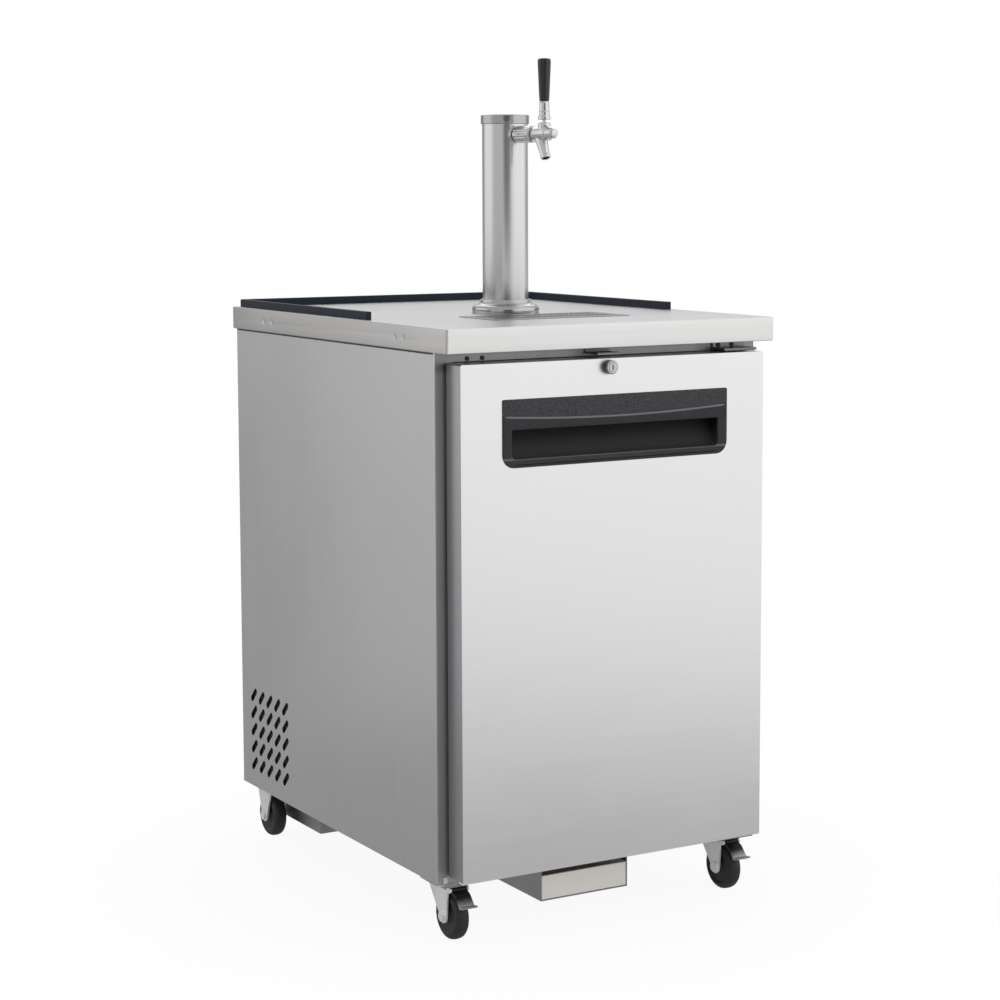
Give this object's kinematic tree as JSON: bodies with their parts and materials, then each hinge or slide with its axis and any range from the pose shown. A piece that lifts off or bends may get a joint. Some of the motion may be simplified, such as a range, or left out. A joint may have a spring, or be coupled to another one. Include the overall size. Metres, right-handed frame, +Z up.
{
  "type": "keg cooler",
  "caption": "Stainless keg cooler on casters with a hinged insulated door, recessed handle, lock, drip tray, guard rail and a draught tower with a working tap.",
  "frame": {"origin": "on the floor under the middle of the bounding box", "axes": "+X to the right seen from the front, +Y to the back, +Z up; the door faces -Y"},
  "size_m": [0.597, 0.803, 1.361],
  "materials": {
    "stainless": "brushed",
    "polished": "polished",
    "rail_navy": "satin",
    "galvanised": "dull",
    "dark_steel": "satin",
    "foam": "matte",
    "liner_white": "satin",
    "fin_metal": "satin",
    "cream_plastic": "matte",
    "black_plastic": "matte",
    "handle_black": "gloss",
    "gasket_grey": "matte",
    "zinc": "bright",
    "wheel_black": "matte",
    "brass": "satin"
  },
  "bodies": {
    "cabinet": {"counter_top": "stainless", "side_panel_left": "stainless", "side_panel_right": "stainless", "tower_tube": "stainless", "drip_tray": "stainless", "keg_floor": "stainless", "tower_flange": "polished", "tower_cap": "polished", "shank": "polished", "coupling_nut": "polished", "faucet_body": "polished", "faucet_collar": "polished", "riser_tube": "polished", "guard_rail": "rail_navy", "back_panel": "galvanised", "base_pan": "galvanised", "front_frame": "galvanised", "lock_keeper": "galvanised", "rear_grille": "dark_steel", "machine_pan": "dark_steel", "pan_sleeve": "dark_steel", "hinge_brackets": "dark_steel", "cabinet_screws": "dark_steel", "condenser": "dark_steel", "fan_motors": "dark_steel", "compressor": "dark_steel", "side_foam": "foam", "inner_foam": "foam", "counter_core": "foam", "liner": "liner_white", "evaporator_cover": "liner_white", "evaporator_coil": "fin_metal", "gas_port_bush": "black_plastic", "power_inlet": "black_plastic", "rear_forks": "zinc", "caster_bolts": "zinc"},
    "door": {"door_skin": "stainless", "door_foam": "foam", "door_liner": "liner_white", "door_gasket": "gasket_grey", "door_handle": "black_plastic", "door_bushes": "cream_plastic", "lock_body": "polished"},
    "lock": {"lock_plug": "polished"},
    "tap": {"tap_lever": "polished", "tap_handle": "handle_black"},
    "tap_shaft": {"faucet_shaft": "brass"},
    "front_left_caster": {"front_left_fork": "zinc"},
    "front_right_caster": {"front_right_fork": "zinc"},
    "front_left_roller": {"front_left_wheel": "wheel_black"},
    "front_right_roller": {"front_right_wheel": "wheel_black"},
    "rear_left_roller": {"rear_left_wheel": "wheel_black"},
    "rear_right_roller": {"rear_right_wheel": "wheel_black"},
    "left_brake": {"left_brake_pedal": "dark_steel"},
    "right_brake": {"right_brake_pedal": "dark_steel"},
    "pan": {"condensate_pan": "cream_plastic"},
    "grille": {"drip_grille": "stainless"},
    "cold_fan": {"evaporator_fan": "black_plastic"},
    "hot_fan": {"condenser_fan": "fin_metal"},
    "dial": {"thermostat_knob": "black_plastic"}
  },
  "joints": [
    {"name": "door_swing", "type": "hinge", "parent": "cabinet", "child": "door", "pos_m": [0.262, -0.367, 0.5], "axis": [0, 0, 1], "range_deg": [0, 115]},
    {"name": "lock_turn", "type": "hinge", "parent": "door", "child": "lock", "pos_m": [-0.016, -0.38, 0.882], "axis": [0, -1, 0], "range_deg": [0, 90]},
    {"name": "tap_pull", "type": "hinge", "parent": "cabinet", "child": "tap", "pos_m": [0, -0.172, 1.253], "axis": [1, 0, 0], "range_deg": [0, 30]},
    {"name": "tap_shaft_slide", "type": "slide", "parent": "cabinet", "child": "tap_shaft", "axis": [0, 1, 0], "range_m": [0, 0.006]},
    {"name": "front_left_swivel", "type": "hinge", "parent": "cabinet", "child": "front_left_caster", "pos_m": [-0.256, -0.294, 0.082], "axis": [0, 0, 1], "continuous": true},
    {"name": "front_right_swivel", "type": "hinge", "parent": "cabinet", "child": "front_right_caster", "pos_m": [0.256, -0.294, 0.082], "axis": [0, 0, 1], "continuous": true},
    {"name": "front_left_roll", "type": "hinge", "parent": "front_left_caster", "child": "front_left_roller", "pos_m": [-0.256, -0.318, 0.038], "axis": [1, 0, 0], "continuous": true},
    {"name": "front_right_roll", "type": "hinge", "parent": "front_right_caster", "child": "front_right_roller", "pos_m": [0.256, -0.318, 0.038], "axis": [1, 0, 0], "continuous": true},
    {"name": "rear_left_roll", "type": "hinge", "parent": "cabinet", "child": "rear_left_roller", "pos_m": [-0.256, 0.352, 0.038], "axis": [1, 0, 0], "continuous": true},
    {"name": "rear_right_roll", "type": "hinge", "parent": "cabinet", "child": "rear_right_roller", "pos_m": [0.256, 0.352, 0.038], "axis": [1, 0, 0], "continuous": true},
    {"name": "left_brake_press", "type": "hinge", "parent": "front_left_caster", "child": "left_brake", "pos_m": [-0.256, -0.338, 0.083], "axis": [1, 0, 0], "range_deg": [0, 14]},
    {"name": "right_brake_press", "type": "hinge", "parent": "front_right_caster", "child": "right_brake", "pos_m": [0.256, -0.338, 0.083], "axis": [1, 0, 0], "range_deg": [0, 14]},
    {"name": "pan_pull", "type": "slide", "parent": "cabinet", "child": "pan", "axis": [0, -1, 0], "range_m": [0, 0.2]},
    {"name": "grille_lift", "type": "slide", "parent": "cabinet", "child": "grille", "axis": [0, 0, 1], "range_m": [0, 0.05]},
    {"name": "cold_fan_spin", "type": "hinge", "parent": "cabinet", "child": "cold_fan", "pos_m": [-0.105, 0.295, 0.785], "axis": [0, 1, 0], "continuous": true},
    {"name": "hot_fan_spin", "type": "hinge", "parent": "cabinet", "child": "hot_fan", "pos_m": [0.121, 0.325, 0.15], "axis": [0, 1, 0], "continuous": true},
    {"name": "dial_turn", "type": "hinge", "parent": "cabinet", "child": "dial", "pos_m": [0.095, 0.271, 0.716], "axis": [0, -1, 0], "range_deg": [0, 270]}
  ],
  "couplings": [
    {"joint": "tap_shaft_slide", "follows": "tap_pull", "m_per_rad": 0.0105}
  ]
}
